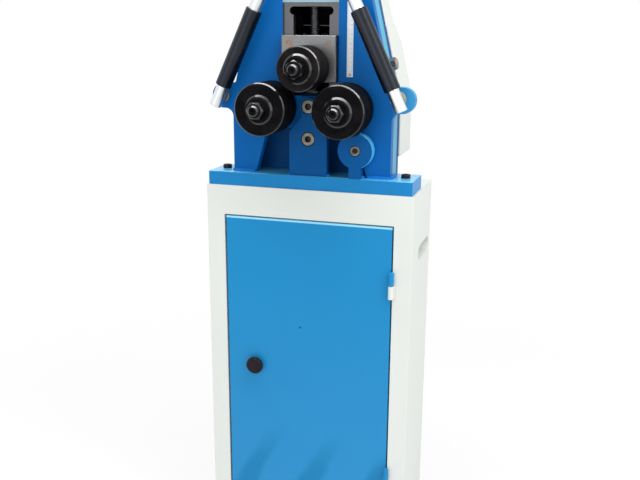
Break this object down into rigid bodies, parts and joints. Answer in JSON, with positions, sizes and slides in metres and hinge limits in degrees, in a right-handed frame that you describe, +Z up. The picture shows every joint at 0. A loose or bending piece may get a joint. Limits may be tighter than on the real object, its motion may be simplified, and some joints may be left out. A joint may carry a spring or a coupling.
{
  "type": "ring roller",
  "caption": "Floor-standing ring roller: rollers on a tapered plate frame, screw-fed slide, geared drive, side levers, and a sheet-steel cabinet with a hinged door.",
  "frame": {"origin": "middle of the cabinet's foot, on the floor", "axes": "+X to the right seen from the front, +Y to the back, +Z up"},
  "size_m": [0.5, 0.496, 1.515],
  "materials": {
    "cabinet_paint": "off-white powder coat",
    "door_paint": "bright blue powder coat",
    "blue_paint": "bright blue gloss paint",
    "black_screw": "black oxide",
    "zinc": "zinc plated",
    "lever_bar": "satin chrome",
    "rule_face": "satin steel",
    "bronze": "machined bronze",
    "ground_steel": "ground steel, lightly stained",
    "turned_steel": "turned steel",
    "black_oxide": "blackened hardened steel",
    "knob_plastic": "dark moulded plastic",
    "grip_foam": "black foam",
    "motor_paint": "grey enamel"
  },
  "bodies": {
    "stand": {"cabinet_front": "cabinet_paint", "cabinet_sides": "cabinet_paint", "cabinet_panels": "cabinet_paint", "cabinet_hinge_halves": "cabinet_paint", "hinge_pins": "zinc", "base_plate": "blue_paint", "black_screws": "black_screw", "front_plate": "blue_paint", "rear_plate": "blue_paint", "left_side_wall": "blue_paint", "right_side_wall": "blue_paint", "side_bolts": "zinc", "centre_bracket": "blue_paint", "bracket_screws": "zinc", "guide_lug": "blue_paint", "lug_screw": "zinc", "scale_rule": "rule_face", "scale_screws": "zinc", "top_cap": "blue_paint", "feed_nut": "bronze", "plate_bushes": "bronze", "gear_case": "cabinet_paint", "upper_cover": "cabinet_paint", "gearbox_housing": "motor_paint", "drive_motor": "motor_paint"},
    "door": {"cabinet_door": "door_paint", "door_hinge_halves": "door_paint"},
    "latch": {"door_knob": "knob_plastic", "door_latch_cam": "zinc"},
    "slide": {"slide_block": "ground_steel", "slide_keeper": "ground_steel", "slide_screws": "zinc", "upper_bush": "bronze", "screw_retainer": "ground_steel"},
    "screw": {"feed_screw": "turned_steel", "star_hub": "turned_steel", "star_arms": "turned_steel", "star_knobs": "knob_plastic"},
    "upper_roller": {"upper_shaft": "black_oxide", "upper_rings": "black_oxide", "upper_collar": "black_oxide", "upper_nut": "black_oxide", "upper_shaft_ring": "turned_steel"},
    "lower_left_roller": {"lower_left_shaft": "black_oxide", "lower_left_rings": "black_oxide", "lower_left_collar": "black_oxide", "lower_left_nut": "black_oxide", "lower_left_gear": "turned_steel"},
    "lower_right_roller": {"lower_right_shaft": "black_oxide", "lower_right_rings": "black_oxide", "lower_right_collar": "black_oxide", "lower_right_nut": "black_oxide", "lower_right_gear": "turned_steel"},
    "pinion": {"drive_pinion": "turned_steel"},
    "left_lever": {"left_lever_tube": "lever_bar", "left_lever_grip": "grip_foam", "left_lever_pin": "zinc"},
    "right_lever": {"right_lever_tube": "lever_bar", "right_lever_grip": "grip_foam", "right_lever_pin": "zinc"}
  },
  "joints": [
    {"name": "door_hinge", "type": "hinge", "parent": "stand", "child": "door", "pos_m": [0.2047, -0.1191, 0.469], "axis": [0, 0, 1], "range_deg": [0, 115]},
    {"name": "latch_turn", "type": "hinge", "parent": "door", "child": "latch", "pos_m": [-0.1305, -0.1125, 0.4755], "axis": [0, 1, 0], "range_deg": [0, 90]},
    {"name": "slide_travel", "type": "slide", "parent": "stand", "child": "slide", "axis": [0, 0, 1], "range_m": [-0.004, 0.066]},
    {"name": "feed_screw_turn", "type": "hinge", "parent": "slide", "child": "screw", "pos_m": [0, -0.0525, 1.482], "axis": [0, 0, 1], "range_deg": [-288, 4752]},
    {"name": "upper_roller_spin", "type": "hinge", "parent": "slide", "child": "upper_roller", "pos_m": [0, -0.1325, 1.1954], "axis": [0, 1, 0], "continuous": true},
    {"name": "lower_right_spin", "type": "hinge", "parent": "stand", "child": "lower_right_roller", "pos_m": [0.09, -0.1325, 1.106], "axis": [0, 1, 0], "continuous": true},
    {"name": "lower_left_spin", "type": "hinge", "parent": "stand", "child": "lower_left_roller", "pos_m": [-0.09, -0.1325, 1.106], "axis": [0, 1, 0], "continuous": true},
    {"name": "pinion_spin", "type": "hinge", "parent": "stand", "child": "pinion", "pos_m": [0, 0.0235, 1.0463], "axis": [0, 1, 0], "continuous": true},
    {"name": "right_lever_swing", "type": "hinge", "parent": "stand", "child": "right_lever", "pos_m": [0.20657, -0.1235, 1.132], "axis": [0, 1, 0], "range_deg": [0, 115]},
    {"name": "left_lever_swing", "type": "hinge", "parent": "stand", "child": "left_lever", "pos_m": [-0.20657, -0.1235, 1.132], "axis": [0, -1, 0], "range_deg": [0, 115]}
  ],
  "couplings": [
    {"joint": "slide_travel", "follows": "feed_screw_turn", "m_per_rad": 0.00079577},
    {"joint": "lower_left_spin", "follows": "lower_right_spin", "ratio": 1},
    {"joint": "pinion_spin", "follows": "lower_right_spin", "ratio": -2.6}
  ]
}
